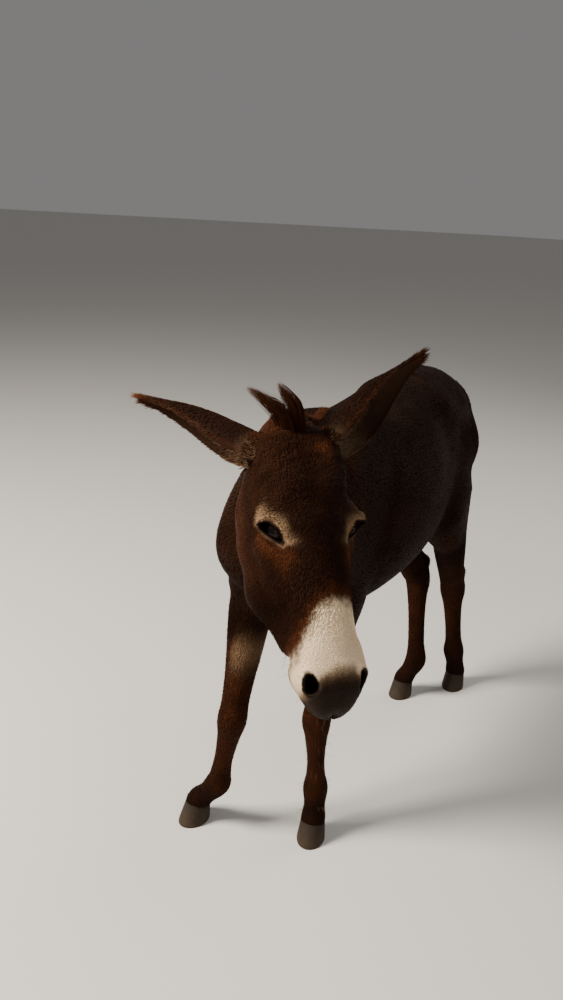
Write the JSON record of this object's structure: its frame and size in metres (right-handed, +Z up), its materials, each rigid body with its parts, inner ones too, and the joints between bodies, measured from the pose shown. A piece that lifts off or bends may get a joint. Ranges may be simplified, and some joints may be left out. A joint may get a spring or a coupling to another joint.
{
  "type": "donkey",
  "caption": "Life-size standing donkey, dark brown coat and white muzzle, head lowered and turned to its left, ears held out sideways",
  "frame": {"origin": "On the floor, under the middle of the donkey's bounding box", "axes": "+X towards the donkey's front, +Y to its left, +Z up; the head turns off towards +Y"},
  "size_m": [1.5042, 0.6322, 1.2589],
  "materials": {
    "coat": "short dark brown fur lying flat, reddish on cheeks, mane and legs, white on the muzzle",
    "long_hair": "coarse brown hair in locks",
    "eye": "wet, nearly black brown",
    "hoof": "dusty grey horn with fine growth rings"
  },
  "bodies": {
    "root": {"head": "coat", "neck": "coat", "trunk": "coat", "leg_fore_left_upper": "coat", "leg_fore_left_lower": "coat", "leg_fore_right_upper": "coat", "leg_fore_right_lower": "coat", "leg_hind_left_upper": "coat", "leg_hind_left_lower": "coat", "leg_hind_right_upper": "coat", "leg_hind_right_lower": "coat", "ear_left": "coat", "ear_right": "coat", "tail_dock": "coat", "forelock": "long_hair", "mane": "long_hair", "tail_tassel": "long_hair", "eye_left": "eye", "eye_right": "eye", "hoof_fore_left": "hoof", "hoof_fore_right": "hoof", "hoof_hind_left": "hoof", "hoof_hind_right": "hoof"}
  },
  "joints": []
}
